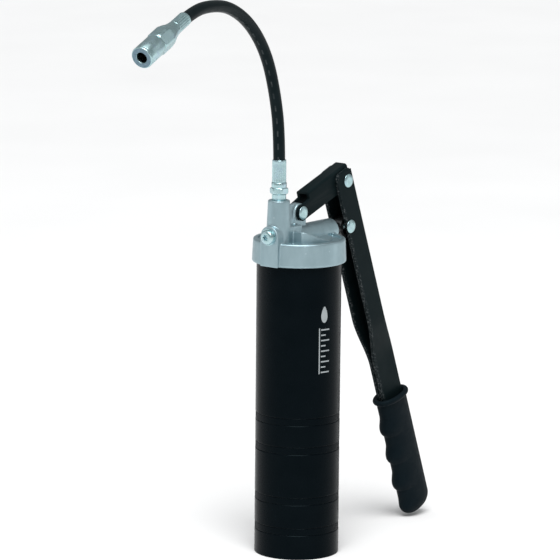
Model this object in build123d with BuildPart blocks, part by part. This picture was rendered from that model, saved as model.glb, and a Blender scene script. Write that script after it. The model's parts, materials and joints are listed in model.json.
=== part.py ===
from build123d import *
from math import atan2, cos, hypot, pi, radians, sin, sqrt, tan
import os

# Lever-action grease gun, closed and empty.
# Frame: origin at the centre of the barrel's flat base, +Z up the barrel,
# +X from the barrel to the lever, so the linkage lies in the XZ plane. Millimetres.

os.makedirs("parts", exist_ok=True)

# ---- Driving dimensions ----

# Barrel
BARREL_R = 28.5
BARREL_BORE_R = 27.0
BARREL_TOP = 209.3
BAND_WIDTH = 5.3
BAND_DEPTH = 0.35
BAND_HEIGHTS = (19.0, 40.0, 74.6, 94.4)

# End cap, pressed flush into the barrel's bottom
CAP_WALL = 2.0
CAP_RIM_HEIGHT = 9.0
CAP_VENT_R = 2.0
CAP_VENT_X = 16.0

# Head ring and its raised middle
RING_BOTTOM = 199.3
RING_TOP = 215.3
RING_BOTTOM_R = 31.7
RING_TOP_R = 30.9
RING_ROUND = 1.2
RIM_INNER_R = 27.8
RECESS_Z = 213.6
GASKET_HEIGHT = 2.0
GASKET_INNER_R = 25.0
SOCKET_R = 28.5
PLATEAU_R = 22.5
PLATEAU_HIGH = 222.0
PLATEAU_LOW = 215.2
PLATEAU_SLOPE = (-15.0, 8.0)
PLATEAU_SLOPE_ENDS = [(1, -0.4), (1, 0)]
PLATEAU_FOOT = 1.0
PLATEAU_NOTCH_X = -16.8
PLATEAU_NOTCH_Y = 5.0

# Outlet post
POST_X = -22.5
POST_TOP = 243.4
POST_BASE_R = 8.6
POST_TOP_R = 7.3
POST_ROUND = 0.8

# Pump bore, boss and plunger
PUMP_Z = 216.3
BOSS_R = 7.8
BOSS_END = 33.9
BOSS_ROOT_END = -7.0
BOSS_ROOT_TOP = 225.5
PLUNGER_R = 4.0
RUNNING_GAP = 0.05
PLUNGER_TIP = -17.0
PACKING_R = 5.8
PACKING_DEPTH = 4.2
WASHER_THICK = 1.0
INLET_X = 3.0
INLET_R = 2.5

# Check valve in the post
SEAT_Z = 225.0
SEAT_R = 2.0
BALL_R = 3.0
VALVE_R = 3.6
THREAD_R = 4.75
THREAD_BOTTOM = 236.0

# Vent pad and screw
PAD_X = -33.0
PAD_R = 7.25
VENT_Z = 219.5
VENT_HOLE_R = 2.5
BLEED_R = 1.0
VENT_TIP = -27.0
WASHER_R = 5.6
VENT_HEAD_R = 5.0
VENT_HEAD_THICK = 2.6
VENT_HEAD_ROUND = 2.08
RECESS_LOBES = 6
RECESS_R = 1.75
RECESS_LOBE_R = 0.5
RECESS_DEPTH = 1.8

# Linkage pivots, in the XZ plane
A_X, A_Z = -2.8, 232.7
B_X, B_Z = 43.9, 249.3
C_X, C_Z = 47.4, 217.6
PIN_R = 2.6
RIVET_HEAD_R = 4.6
RIVET_HEAD_THICK = 1.1
RIVET_HEAD_TAPER = 30.0
SIDE_GAP = 0.2

# Lug and link
LUG_THICK = 6.0
LUG_R = 6.2
LUG_WEB_THICK = 4.0
LINK_SHEET = 1.8
LINK_WIDTH = 10.4
LINK_TOP = 10.6
LINK_LOW = -5.2
LINK_EAR_R = 5.4
LINK_WEB_START = 9.5
LINK_WEB_DROP = 3.0
LINK_EAR_ANGLE = 120.0
LINK_TAIL = 4.5

# Lever: distances down its length are from pivot B, and out from it
LEVER_TILT = 20.67
LEVER_SHEET = 2.0
LEVER_WIDTH = 15.0
NECK_WIDTH = 5.0
LEVER_TOP = -8.7
LEVER_IN = -11.5
LEVER_OUT = 6.5
NECK_IN = -10.0
NECK_OUT = 13.2
SHOULDER_START = 104.0
SHOULDER_END = 141.0
SHOULDER_LEAD = 2.0
LEVER_END_RISE = 1.0
LEVER_END = 246.0
WEB_START = 10.5

# Plunger eye: the hole is wider than the pin because pivot C is left open
EYE_X = C_X + 1.02
EYE_R = 7.6
EYE_HOLE_R = 5.0
EYE_THICK = 7.0

# Grip
GRIP_START = 168.5
GRIP_END = 262.5
GRIP_HALF_DEPTH = 13.8
GRIP_HALF_WIDTH = 7.5
GRIP_OFFSET = 1.5
RIM_EXTRA = 2.2
RIM_THICK = 5.0
RIM_ROUND = 1.6
FINGER_PITCH = 21.9
FIRST_FINGER = 189.8
FINGER_RISE = 2.4
FINGERS = 3
FINGER_LEAD = 6.0
FINGER_FALL = 7.0
LAST_FINGER_SHARE = 0.4
GRIP_TIP = ((5.0, 0.94), (2.3, 0.8), (0.0, 0.5))

# Outlet adapter and lower ferrule, up the post's axis
HEX_BOTTOM = 247.6
HEX_TOP = 251.6
COLLAR_TOP = 255.3
ADAPTER_HEX_R = 6.2
COLLAR_R = 5.1
FERRULE_R = 4.7
FERRULE_TOP = 270.3
FLUTES = 18
FLUTE_R = 0.45
STEM_R = 1.9
STEM_INSET = 3.0
PASSAGE_R = 1.0

# Hose: each point is (reach from the post's axis, height)
HOSE_R = 4.0
HOSE_BORE_R = 2.0
HOSE_TURN = 8.5
HOSE_POINTS = [
    (0.0, 257.3),
    (0.0, 285.8),
    (6.0, 313.8),
    (18.0, 342.2),
    (39.5, 364.4),
    (65.6, 377.4),
    (89.0, 380.7),
    (112.5, 379.2),
    (134.0, 371.0),
]
RADIUS_SHARE = 0.45

# Coupler: distances along its axis are from where the hose enters the ferrule
HOSE_INSERT = 12.0
UPPER_FERRULE = 14.0
CONE_END = 25.5
COUPLER_HEX_END = 37.5
COUPLER_END = 55.4
CONE_R = 4.9
COUPLER_R = 7.3
COUPLER_HEX_R = 8.2
COUPLER_ROUND_R = 7.8
NOSE_R = 3.6
NOSE_LENGTH = 3.0
CAVITY_R = 5.5
JAW_R = 5.3
JAW_BORE_R = 3.7
JAW_START = 44.4
JAW_END = 51.2
JAWS = 3
JAW_SLOT = 0.8
PISTON_START = 42.0
COUPLER_STEM_END = 38.3
NOSE_CHAMFER = 0.6
NOSE_SEAL_THICK = 2.0
NOSE_SEAL_GAP = 0.3

# Springs: mean radius, wire, turns
FOLLOWER_SPRING = (21.0, 2.4, 13)
CHECK_SPRING = (2.3, 0.6, 4)
COUPLER_SPRING = (4.2, 0.7, 2)

# Follower
FOLLOWER_TOP = 208.0
FOLLOWER_PLATE_R = 25.5
FOLLOWER_THICK = 2.0
FOLLOWER_HUB_HEIGHT = 6.0
FOLLOWER_HUB_WALL = 1.5
SEAL_HEIGHT = 7.0
SEAL_WALL = 2.0
SEAL_GAP = 0.08

# Running past a solid's surface when cutting it, and a spring's slack at each end
CUT_PAST = 5.0
SPRING_SLACK = 0.05

# ---- Planes that follow from the dimensions ----

link_angle = atan2(B_Z - A_Z, B_X - A_X)
link_length = hypot(B_X - A_X, B_Z - A_Z)
link_plane = Plane(
    origin=(A_X, 0, A_Z),
    x_dir=(cos(link_angle), 0, sin(link_angle)),
    z_dir=(0, -1, 0),
)
down = (sin(radians(LEVER_TILT)), 0, -cos(radians(LEVER_TILT)))
out = (cos(radians(LEVER_TILT)), 0, sin(radians(LEVER_TILT)))
lever_plane = Plane(origin=(B_X, 0, B_Z), x_dir=down, z_dir=(0, -1, 0))
lever_plan = Plane(origin=(B_X, 0, B_Z), x_dir=down, z_dir=out)


def lever_station(distance):
    """The plane across the lever at a distance below pivot B; local x points outward."""
    origin = Vector(B_X, 0, B_Z) + Vector(*down) * distance
    return Plane(origin=origin, x_dir=out, z_dir=down)


def hose_point(reach, height):
    """A point in the hose's vertical plane, which is turned a little towards -Y."""
    turn = radians(HOSE_TURN)
    return Vector(POST_X - reach * cos(turn), -reach * sin(turn), height)


hose_route = [hose_point(*point) for point in HOSE_POINTS]
coupler_axis = (hose_route[-1] - hose_route[-2]).normalized()
coupler_zero = hose_route[-1] - coupler_axis * HOSE_INSERT
coupler_side = (sin(radians(HOSE_TURN)), -cos(radians(HOSE_TURN)), 0)


def coupler_plane(distance):
    """The plane across the coupler's axis at a distance from the hose's mouth."""
    origin = coupler_zero + coupler_axis * distance
    return Plane(origin=origin, x_dir=coupler_side, z_dir=coupler_axis)


def coil(plane, gap, radius, wire, turns):
    """A round-wire coil spring that fills a gap along the plane's normal."""
    height = gap - wire - 2 * SPRING_SLACK
    start = plane.offset(wire / 2 + SPRING_SLACK)
    with BuildPart() as spring:
        with BuildLine() as path:
            Helix(height / turns, height, radius, center=start.origin, direction=start.z_dir)
        with BuildSketch(Plane(origin=path.line @ 0, z_dir=path.line % 0)):
            Circle(wire / 2)
        sweep(is_frenet=True)
    return spring


def rivet(x, z, width):
    """A domed rivet through the linkage along Y, with its heads outside a given width."""
    with BuildPart() as pin:
        with BuildSketch(Plane.XZ.offset(-width / 2)):
            with Locations((x, z)):
                Circle(PIN_R)
        extrude(amount=width)
        for face_plane in (Plane.XZ.offset(width / 2), Plane.XZ.offset(-width / 2)):
            side = 1 if face_plane.origin.Y < 0 else -1
            with BuildSketch(face_plane):
                with Locations((x, z)):
                    Circle(RIVET_HEAD_R)
            extrude(amount=side * RIVET_HEAD_THICK, taper=RIVET_HEAD_TAPER)
    return pin


def fluted_ferrule(plane, length):
    """A crimped ferrule: a sleeve with shallow flutes along it."""
    with BuildPart() as ferrule:
        with BuildSketch(plane):
            Circle(FERRULE_R)
            with PolarLocations(FERRULE_R + FLUTE_R / 2, FLUTES):
                Circle(FLUTE_R, mode=Mode.SUBTRACT)
            Circle(HOSE_R, mode=Mode.SUBTRACT)
        extrude(amount=length)
    return ferrule


# ---- Barrel group ----

with BuildPart() as grease_barrel:
    with BuildSketch(Plane.XY):
        Circle(BARREL_R)
        Circle(BARREL_BORE_R, mode=Mode.SUBTRACT)
    extrude(amount=BARREL_TOP)
    for band_height in BAND_HEIGHTS:
        with BuildSketch(Plane.XY.offset(band_height - BAND_WIDTH / 2)):
            Circle(BARREL_R + CUT_PAST)
            Circle(BARREL_R - BAND_DEPTH, mode=Mode.SUBTRACT)
        extrude(amount=BAND_WIDTH, mode=Mode.SUBTRACT)
grease_barrel.part.label = "grease_barrel"
export_step(grease_barrel.part, "parts/grease_barrel.step")

with BuildPart() as end_cap:
    with BuildSketch(Plane.XY):
        Circle(BARREL_BORE_R)
    extrude(amount=CAP_RIM_HEIGHT)
    with BuildSketch(Plane.XY.offset(CAP_WALL)):
        Circle(BARREL_BORE_R - CAP_WALL)
    extrude(amount=CAP_RIM_HEIGHT, mode=Mode.SUBTRACT)
    with BuildSketch(Plane.XY):
        with Locations((CAP_VENT_X, 0)):
            Circle(CAP_VENT_R)
    extrude(amount=CAP_WALL, mode=Mode.SUBTRACT)
end_cap.part.label = "end_cap"
export_step(end_cap.part, "parts/end_cap.step")

with BuildPart() as head_gasket:
    with BuildSketch(Plane.XY.offset(BARREL_TOP)):
        Circle(SOCKET_R)
        Circle(GASKET_INNER_R, mode=Mode.SUBTRACT)
    extrude(amount=GASKET_HEIGHT)
head_gasket.part.label = "head_gasket"
export_step(head_gasket.part, "parts/head_gasket.step")

# The rubber cup's lip wipes the barrel; the steel plate below carries it
seal_bottom = FOLLOWER_TOP - SEAL_HEIGHT
with BuildPart() as follower_seal:
    with BuildSketch(Plane.XY.offset(seal_bottom)):
        Circle(BARREL_BORE_R - SEAL_GAP)
    extrude(amount=SEAL_HEIGHT)
    with BuildSketch(Plane.XY.offset(seal_bottom + SEAL_WALL)):
        Circle(BARREL_BORE_R - SEAL_GAP - SEAL_WALL)
    extrude(amount=SEAL_HEIGHT, mode=Mode.SUBTRACT)
follower_seal.part.label = "follower_seal"
export_step(follower_seal.part, "parts/follower_seal.step")

plate_bottom = seal_bottom - FOLLOWER_THICK
hub_r = FOLLOWER_SPRING[0] - FOLLOWER_SPRING[1]
with BuildPart() as follower_plate:
    with BuildSketch(Plane.XY.offset(plate_bottom)):
        Circle(FOLLOWER_PLATE_R)
    extrude(amount=FOLLOWER_THICK)
    with BuildSketch(Plane.XY.offset(plate_bottom - FOLLOWER_HUB_HEIGHT)):
        Circle(hub_r)
        Circle(hub_r - FOLLOWER_HUB_WALL, mode=Mode.SUBTRACT)
    extrude(amount=FOLLOWER_HUB_HEIGHT)
follower_plate.part.label = "follower_plate"
export_step(follower_plate.part, "parts/follower_plate.step")

follower_spring = coil(Plane.XY.offset(CAP_WALL), plate_bottom - CAP_WALL, *FOLLOWER_SPRING)
follower_spring.part.label = "follower_spring"
export_step(follower_spring.part, "parts/follower_spring.step")

# ---- Head ----

slope_start, slope_end = PLATEAU_SLOPE
with BuildPart() as plateau:
    with BuildSketch(Plane.XY.offset(RECESS_Z - PLATEAU_FOOT)):
        Circle(PLATEAU_R)
        for side in (1, -1):
            with Locations((PLATEAU_NOTCH_X, side * PLATEAU_NOTCH_Y)):
                notch_align = (Align.MAX, Align.MIN if side > 0 else Align.MAX)
                Rectangle(PLATEAU_R, PLATEAU_R, align=notch_align, mode=Mode.SUBTRACT)
    extrude(amount=PLATEAU_HIGH - RECESS_Z + PLATEAU_FOOT)
    with BuildSketch(Plane.XZ):
        with BuildLine():
            Polyline(
                (slope_start, PLATEAU_HIGH),
                (slope_start, PLATEAU_HIGH + CUT_PAST),
                (PLATEAU_R + CUT_PAST, PLATEAU_HIGH + CUT_PAST),
                (PLATEAU_R + CUT_PAST, PLATEAU_LOW),
                (slope_end, PLATEAU_LOW),
            )
            Spline(
                (slope_start, PLATEAU_HIGH),
                (slope_end, PLATEAU_LOW),
                tangents=PLATEAU_SLOPE_ENDS,
            )
        make_face()
    extrude(amount=PLATEAU_R + CUT_PAST, both=True, mode=Mode.SUBTRACT)

with BuildPart() as pump_head:
    with BuildSketch(Plane.XZ) as ring_profile:
        with BuildLine():
            Polyline(
                (0, RING_BOTTOM),
                (RING_BOTTOM_R, RING_BOTTOM),
                (RING_TOP_R, RING_TOP),
                (RIM_INNER_R, RING_TOP),
                (RIM_INNER_R, RECESS_Z),
                (0, RECESS_Z),
                close=True,
            )
        make_face()
        outer_corners = ring_profile.vertices().sort_by(Axis.X)[-2:]
        fillet(outer_corners, RING_ROUND)
    revolve(axis=Axis.Z)
    add(plateau.part)
    # Outlet post
    with Locations((POST_X, 0, RECESS_Z - PLATEAU_FOOT)):
        Cone(
            POST_BASE_R,
            POST_TOP_R,
            POST_TOP - RECESS_Z + PLATEAU_FOOT,
            align=(Align.CENTER, Align.CENTER, Align.MIN),
        )
    fillet(pump_head.edges().sort_by(Axis.Z)[-1], POST_ROUND)
    # Pump boss along +X
    with BuildSketch(Plane.YZ.offset(POST_X)):
        with Locations((0, PUMP_Z)):
            Circle(BOSS_R)
    extrude(amount=BOSS_END - POST_X)
    # Square root of the boss beside the post
    with BuildSketch(Plane.XZ):
        with Locations((POST_X, PUMP_Z)):
            Rectangle(
                BOSS_ROOT_END - POST_X,
                BOSS_ROOT_TOP - PUMP_Z,
                align=(Align.MIN, Align.MIN),
            )
    extrude(amount=BOSS_R, both=True)
    # Vent pad with a round top
    with BuildSketch(Plane.YZ.offset(PAD_X)):
        with Locations((0, VENT_Z)):
            Circle(PAD_R)
            Rectangle(2 * PAD_R, VENT_Z - RING_BOTTOM, align=(Align.CENTER, Align.MAX))
    extrude(amount=POST_X - PAD_X)
    # Lug for the link, with a thinner web to the post
    with BuildSketch(Plane.XZ):
        with Locations((A_X, A_Z)):
            Circle(LUG_R)
            Rectangle(2 * LUG_R, A_Z - PUMP_Z, align=(Align.CENTER, Align.MAX))
    extrude(amount=LUG_THICK / 2, both=True)
    with BuildSketch(Plane.XZ):
        with Locations((A_X, A_Z + LUG_R)):
            Rectangle(A_X - POST_X, A_Z + LUG_R - PUMP_Z, align=(Align.MAX, Align.MAX))
    extrude(amount=LUG_WEB_THICK / 2, both=True)
    # Socket for the barrel and its gasket
    with BuildSketch(Plane.XY.offset(RING_BOTTOM - CUT_PAST)):
        Circle(SOCKET_R)
    extrude(amount=BARREL_TOP + GASKET_HEIGHT - RING_BOTTOM + CUT_PAST, mode=Mode.SUBTRACT)
    # Pump bore with the packing's counterbore at the boss's mouth
    with BuildSketch(Plane.YZ.offset(POST_X)):
        with Locations((0, PUMP_Z)):
            Circle(PLUNGER_R + RUNNING_GAP)
    extrude(amount=BOSS_END - POST_X, mode=Mode.SUBTRACT)
    with BuildSketch(Plane.YZ.offset(BOSS_END - PACKING_DEPTH)):
        with Locations((0, PUMP_Z)):
            Circle(PACKING_R)
    extrude(amount=PACKING_DEPTH, mode=Mode.SUBTRACT)
    # Inlet from the barrel, outlet up the post, valve chamber and adapter thread
    with BuildSketch(Plane.XY.offset(BARREL_TOP)):
        with Locations((INLET_X, 0)):
            Circle(INLET_R)
    extrude(amount=PUMP_Z - BARREL_TOP, mode=Mode.SUBTRACT)
    for bore_r, bore_bottom in ((SEAT_R, PUMP_Z), (VALVE_R, SEAT_Z), (THREAD_R, THREAD_BOTTOM)):
        with BuildSketch(Plane.XY.offset(bore_bottom)):
            with Locations((POST_X, 0)):
                Circle(bore_r)
        extrude(amount=POST_TOP - bore_bottom, mode=Mode.SUBTRACT)
    # Vent screw's hole with its bleed passage to the outlet, and the link pin's hole
    for hole_r, hole_end in ((VENT_HOLE_R + RUNNING_GAP, VENT_TIP), (BLEED_R, POST_X)):
        with BuildSketch(Plane.YZ.offset(PAD_X)):
            with Locations((0, VENT_Z)):
                Circle(hole_r)
        extrude(amount=hole_end - PAD_X, mode=Mode.SUBTRACT)
    with BuildSketch(Plane.XZ):
        with Locations((A_X, A_Z)):
            Circle(PIN_R)
    extrude(amount=LUG_THICK, both=True, mode=Mode.SUBTRACT)
pump_head.part.label = "pump_head"
export_step(pump_head.part, "parts/pump_head.step")

# ---- Pump ----

with BuildPart() as pump_plunger:
    with BuildSketch(Plane.YZ.offset(PLUNGER_TIP)):
        with Locations((0, PUMP_Z)):
            Circle(PLUNGER_R)
    extrude(amount=EYE_X - PLUNGER_TIP)
    with BuildSketch(Plane.XZ):
        with Locations((EYE_X, PUMP_Z)):
            Circle(EYE_R)
    extrude(amount=EYE_THICK / 2, both=True)
    with BuildSketch(Plane.XZ):
        with Locations((EYE_X, PUMP_Z)):
            Circle(EYE_HOLE_R)
    extrude(amount=2 * EYE_THICK, both=True, mode=Mode.SUBTRACT)
pump_plunger.part.label = "pump_plunger"
export_step(pump_plunger.part, "parts/pump_plunger.step")

with BuildPart() as plunger_packing:
    with BuildSketch(Plane.YZ.offset(BOSS_END - PACKING_DEPTH)):
        with Locations((0, PUMP_Z)):
            Circle(PACKING_R)
            Circle(PLUNGER_R + RUNNING_GAP, mode=Mode.SUBTRACT)
    extrude(amount=PACKING_DEPTH - WASHER_THICK)
plunger_packing.part.label = "plunger_packing"
export_step(plunger_packing.part, "parts/plunger_packing.step")

with BuildPart() as packing_washer:
    with BuildSketch(Plane.YZ.offset(BOSS_END - WASHER_THICK)):
        with Locations((0, PUMP_Z)):
            Circle(PACKING_R)
            Circle(PLUNGER_R + RUNNING_GAP, mode=Mode.SUBTRACT)
    extrude(amount=WASHER_THICK)
packing_washer.part.label = "packing_washer"
export_step(packing_washer.part, "parts/packing_washer.step")

ball_z = SEAT_Z + sqrt(BALL_R**2 - SEAT_R**2) + 0.05
with BuildPart() as check_ball:
    with Locations((POST_X, 0, ball_z)):
        Sphere(BALL_R)
check_ball.part.label = "check_ball"
export_step(check_ball.part, "parts/check_ball.step")

ball_top = ball_z + BALL_R
valve_plane = Plane(origin=(POST_X, 0, ball_top), z_dir=(0, 0, 1))
check_spring = coil(valve_plane, THREAD_BOTTOM - ball_top, *CHECK_SPRING)
check_spring.part.label = "check_spring"
export_step(check_spring.part, "parts/check_spring.step")

# ---- Vent screw ----

with BuildPart() as vent_washer:
    with BuildSketch(Plane.YZ.offset(PAD_X - WASHER_THICK)):
        with Locations((0, VENT_Z)):
            Circle(WASHER_R)
            Circle(VENT_HOLE_R + RUNNING_GAP, mode=Mode.SUBTRACT)
    extrude(amount=WASHER_THICK)
vent_washer.part.label = "vent_washer"
export_step(vent_washer.part, "parts/vent_washer.step")

head_base = PAD_X - WASHER_THICK
with BuildPart() as vent_screw:
    with BuildSketch(Plane.YZ.offset(head_base - VENT_HEAD_THICK)):
        with Locations((0, VENT_Z)):
            Circle(VENT_HEAD_R)
    extrude(amount=VENT_HEAD_THICK)
    fillet(vent_screw.edges().sort_by(Axis.X)[0], VENT_HEAD_ROUND)
    with BuildSketch(Plane.YZ.offset(head_base)):
        with Locations((0, VENT_Z)):
            Circle(VENT_HOLE_R)
    extrude(amount=VENT_TIP - head_base)
    # Six-lobed recess
    with BuildSketch(Plane.YZ.offset(head_base - VENT_HEAD_THICK)):
        with Locations((0, VENT_Z)):
            Circle(RECESS_R)
            with PolarLocations(RECESS_R, RECESS_LOBES):
                Circle(RECESS_LOBE_R)
    extrude(amount=RECESS_DEPTH, mode=Mode.SUBTRACT)
vent_screw.part.label = "vent_screw"
export_step(vent_screw.part, "parts/vent_screw.step")

# ---- Link ----

web_low = LINK_TOP - LINK_SHEET
tail_end = link_length + LINK_TAIL
ear_corner = LINK_EAR_R * Vector(cos(radians(LINK_EAR_ANGLE)), sin(radians(LINK_EAR_ANGLE)))
with BuildPart() as lever_link:
    with BuildSketch(link_plane):
        with BuildLine():
            Polyline(
                (0, LINK_LOW),
                (link_length, LINK_LOW),
                (tail_end, 0),
                (tail_end, LINK_TOP),
                (LINK_WEB_START, LINK_TOP),
                (LINK_WEB_START, web_low - LINK_WEB_DROP),
                (ear_corner.X, ear_corner.Y),
                (-LINK_EAR_R, 0),
                close=True,
            )
        make_face()
        for pivot in (0, link_length):
            with Locations((pivot, 0)):
                Circle(LINK_EAR_R)
    extrude(amount=LINK_WIDTH / 2, both=True)
    along_link = Axis(link_plane.origin, link_plane.x_dir)
    top_face = lever_link.faces().sort_by(Axis(link_plane.origin, link_plane.y_dir))[-1]
    fillet(top_face.edges().filter_by(along_link), LINK_SHEET)
    with BuildSketch(link_plane):
        with Locations((link_length / 2, web_low)):
            Rectangle(2 * link_length, 4 * LINK_TOP, align=(Align.CENTER, Align.MAX))
    extrude(amount=LINK_WIDTH / 2 - LINK_SHEET, both=True, mode=Mode.SUBTRACT)
    with BuildSketch(link_plane):
        with Locations((0, 0), (link_length, 0)):
            Circle(PIN_R + RUNNING_GAP)
    extrude(amount=LINK_WIDTH, both=True, mode=Mode.SUBTRACT)
lever_link.part.label = "lever_link"
export_step(lever_link.part, "parts/lever_link.step")

link_pin = rivet(A_X, A_Z, LINK_WIDTH + SIDE_GAP)
link_pin.part.label = "link_pin"
export_step(link_pin.part, "parts/link_pin.step")

# ---- Lever ----


def lever_outline(inset):
    """The lever's side outline, with its outer edge moved in by an inset."""
    with BuildLine() as outline:
        Polyline(
            (SHOULDER_START, LEVER_IN - inset),
            (LEVER_TOP - 2 * inset, LEVER_IN - inset),
            (LEVER_TOP - 2 * inset, LEVER_OUT - inset),
            (SHOULDER_START, LEVER_OUT - inset),
        )
        Spline(
            (SHOULDER_START, LEVER_OUT - inset),
            (SHOULDER_END, NECK_OUT - inset),
            tangents=[(1, 0), (1, 0)],
        )
        Polyline(
            (SHOULDER_END, NECK_OUT - inset),
            (LEVER_END + inset, NECK_OUT - inset - LEVER_END_RISE),
            (LEVER_END + inset, NECK_IN - inset),
            (SHOULDER_END, NECK_IN - inset),
        )
        Spline(
            (SHOULDER_END, NECK_IN - inset),
            (SHOULDER_START, LEVER_IN - inset),
            tangents=[(-1, 0), (-1, 0)],
        )
    return outline


def lever_plan_outline(upper_half, neck_half):
    """The lever seen square to its web: wide above, pinched to a neck below the shoulder."""
    plan_top = LEVER_TOP - CUT_PAST
    plan_shoulder = SHOULDER_START - SHOULDER_LEAD
    plan_end = LEVER_END + CUT_PAST
    with BuildLine() as outline:
        for side in (1, -1):
            Line((plan_top, side * upper_half), (plan_shoulder, side * upper_half))
            Spline(
                (plan_shoulder, side * upper_half),
                (SHOULDER_END, side * neck_half),
                tangents=[(1, 0), (1, 0)],
            )
            Line((SHOULDER_END, side * neck_half), (plan_end, side * neck_half))
        Line((plan_top, upper_half), (plan_top, -upper_half))
        Line((plan_end, neck_half), (plan_end, -neck_half))
    return outline


def lever_blank(inset, upper_half, neck_half):
    """The lever's outline through its plan outline, as one solid bar."""
    with BuildPart() as blank:
        with BuildSketch(lever_plane):
            add(lever_outline(inset).line)
            make_face()
        extrude(amount=LEVER_WIDTH, both=True)
        with BuildSketch(lever_plan):
            add(lever_plan_outline(upper_half, neck_half).line)
            make_face()
        extrude(amount=2 * LEVER_WIDTH, both=True, mode=Mode.INTERSECT)
    return blank


lever_solid = lever_blank(0, LEVER_WIDTH / 2, NECK_WIDTH / 2)
lever_hollow = lever_blank(
    LEVER_SHEET, LEVER_WIDTH / 2 - LEVER_SHEET, NECK_WIDTH / 2 - LEVER_SHEET
)
c_down = (C_X - B_X) * down[0] + (C_Z - B_Z) * down[2]
c_out = (C_X - B_X) * out[0] + (C_Z - B_Z) * out[2]

with BuildPart() as lever_arm:
    add(lever_solid.part)
    add(lever_hollow.part, mode=Mode.SUBTRACT)
    # The web stops below pivot B so that the link's tail can swing
    with BuildSketch(lever_plane):
        with Locations((WEB_START, LEVER_OUT - LEVER_SHEET)):
            Rectangle(
                WEB_START - LEVER_TOP + CUT_PAST,
                LEVER_SHEET + CUT_PAST,
                align=(Align.MAX, Align.MIN),
            )
    extrude(amount=LEVER_WIDTH / 2 - LEVER_SHEET, both=True, mode=Mode.SUBTRACT)
    with BuildSketch(lever_plane):
        with Locations((0, 0), (c_down, c_out)):
            Circle(PIN_R)
    extrude(amount=LEVER_WIDTH, both=True, mode=Mode.SUBTRACT)
lever_arm.part.label = "lever_arm"
export_step(lever_arm.part, "parts/lever_arm.step")

lever_pivot_pin = rivet(B_X, B_Z, LEVER_WIDTH)
lever_pivot_pin.part.label = "lever_pivot_pin"
export_step(lever_pivot_pin.part, "parts/lever_pivot_pin.step")

plunger_pin = rivet(C_X, C_Z, LEVER_WIDTH)
plunger_pin.part.label = "plunger_pin"
export_step(plunger_pin.part, "parts/plunger_pin.step")

# ---- Grip ----

# Each station is (distance below B, inner rise, width share); the rise makes the finger bumps
grip_stations = [(GRIP_START, 0.0, 1.0)]
for finger in range(FINGERS):
    bump = FIRST_FINGER + finger * FINGER_PITCH
    grip_stations.append((bump - FINGER_LEAD, 0.0, 1.0))
    grip_stations.append((bump, FINGER_RISE, 1.0))
    grip_stations.append((bump + FINGER_FALL, 0.0, 1.0))
last_bump = FIRST_FINGER + FINGERS * FINGER_PITCH
grip_stations.append((last_bump - FINGER_LEAD, 0.0, 1.0))
grip_stations.append((last_bump, LAST_FINGER_SHARE * FINGER_RISE, 1.0))
for before_end, share in GRIP_TIP:
    grip_stations.append((GRIP_END - before_end, 0.0, share))

with BuildPart() as lever_grip:
    for distance, rise, share in grip_stations:
        half_depth = share * (GRIP_HALF_DEPTH + rise / 2)
        with BuildSketch(lever_station(distance)):
            with Locations((GRIP_OFFSET - rise / 2, 0)):
                Ellipse(half_depth, share * GRIP_HALF_WIDTH)
    loft(ruled=True)
    with BuildSketch(lever_station(GRIP_START)):
        with Locations((GRIP_OFFSET, 0)):
            Ellipse(GRIP_HALF_DEPTH + RIM_EXTRA, GRIP_HALF_WIDTH + RIM_EXTRA)
    extrude(amount=RIM_THICK)
    fillet(lever_grip.edges().filter_by(GeomType.ELLIPSE).sort_by(Edge.length)[-2:], RIM_ROUND)
    add(lever_solid.part, mode=Mode.SUBTRACT)
lever_grip.part.label = "lever_grip"
export_step(lever_grip.part, "parts/lever_grip.step")

# ---- Outlet adapter, ferrules and hose ----


post_axis = Plane(origin=(POST_X, 0, 0), z_dir=(0, 0, 1))
stem_top = FERRULE_TOP - STEM_INSET
with BuildPart() as outlet_adapter:
    for bottom, top, radius in (
        (THREAD_BOTTOM, HEX_BOTTOM, THREAD_R),
        (HEX_TOP, COLLAR_TOP, COLLAR_R),
        (COLLAR_TOP, stem_top, STEM_R),
    ):
        with BuildSketch(post_axis.offset(bottom)):
            Circle(radius)
        extrude(amount=top - bottom)
    with BuildSketch(post_axis.offset(HEX_BOTTOM)):
        RegularPolygon(ADAPTER_HEX_R, 6)
    extrude(amount=HEX_TOP - HEX_BOTTOM)
    with BuildSketch(post_axis.offset(THREAD_BOTTOM)):
        Circle(PASSAGE_R)
    extrude(amount=stem_top - THREAD_BOTTOM, mode=Mode.SUBTRACT)
outlet_adapter.part.label = "outlet_adapter"
export_step(outlet_adapter.part, "parts/outlet_adapter.step")

hose_ferrule_lower = fluted_ferrule(post_axis.offset(COLLAR_TOP), FERRULE_TOP - COLLAR_TOP)
hose_ferrule_lower.part.label = "hose_ferrule_lower"
export_step(hose_ferrule_lower.part, "parts/hose_ferrule_lower.step")

runs = [b - a for a, b in zip(hose_route, hose_route[1:])]
hose_radii = []
for first, second in zip(runs, runs[1:]):
    half_turn = radians(first.get_angle(second)) / 2
    hose_radii.append(RADIUS_SHARE * min(first.length, second.length) / tan(half_turn))

with BuildPart() as grease_hose:
    with BuildLine() as hose_path:
        FilletPolyline(*hose_route, radius=hose_radii)
    with BuildSketch(Plane(origin=hose_route[0], z_dir=runs[0])):
        Circle(HOSE_R)
        Circle(HOSE_BORE_R, mode=Mode.SUBTRACT)
    sweep()
grease_hose.part.label = "grease_hose"
export_step(grease_hose.part, "parts/grease_hose.step")
hose_length = sum(edge.length for edge in hose_path.edges())
hose_section = pi * (HOSE_R**2 - HOSE_BORE_R**2)
print("hose radii", [round(radius, 1) for radius in hose_radii])
print("hose length", round(hose_length, 1))
print("hose volume", round(grease_hose.part.volume, 1))
print("section times length", round(hose_section * hose_length, 1))

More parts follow.
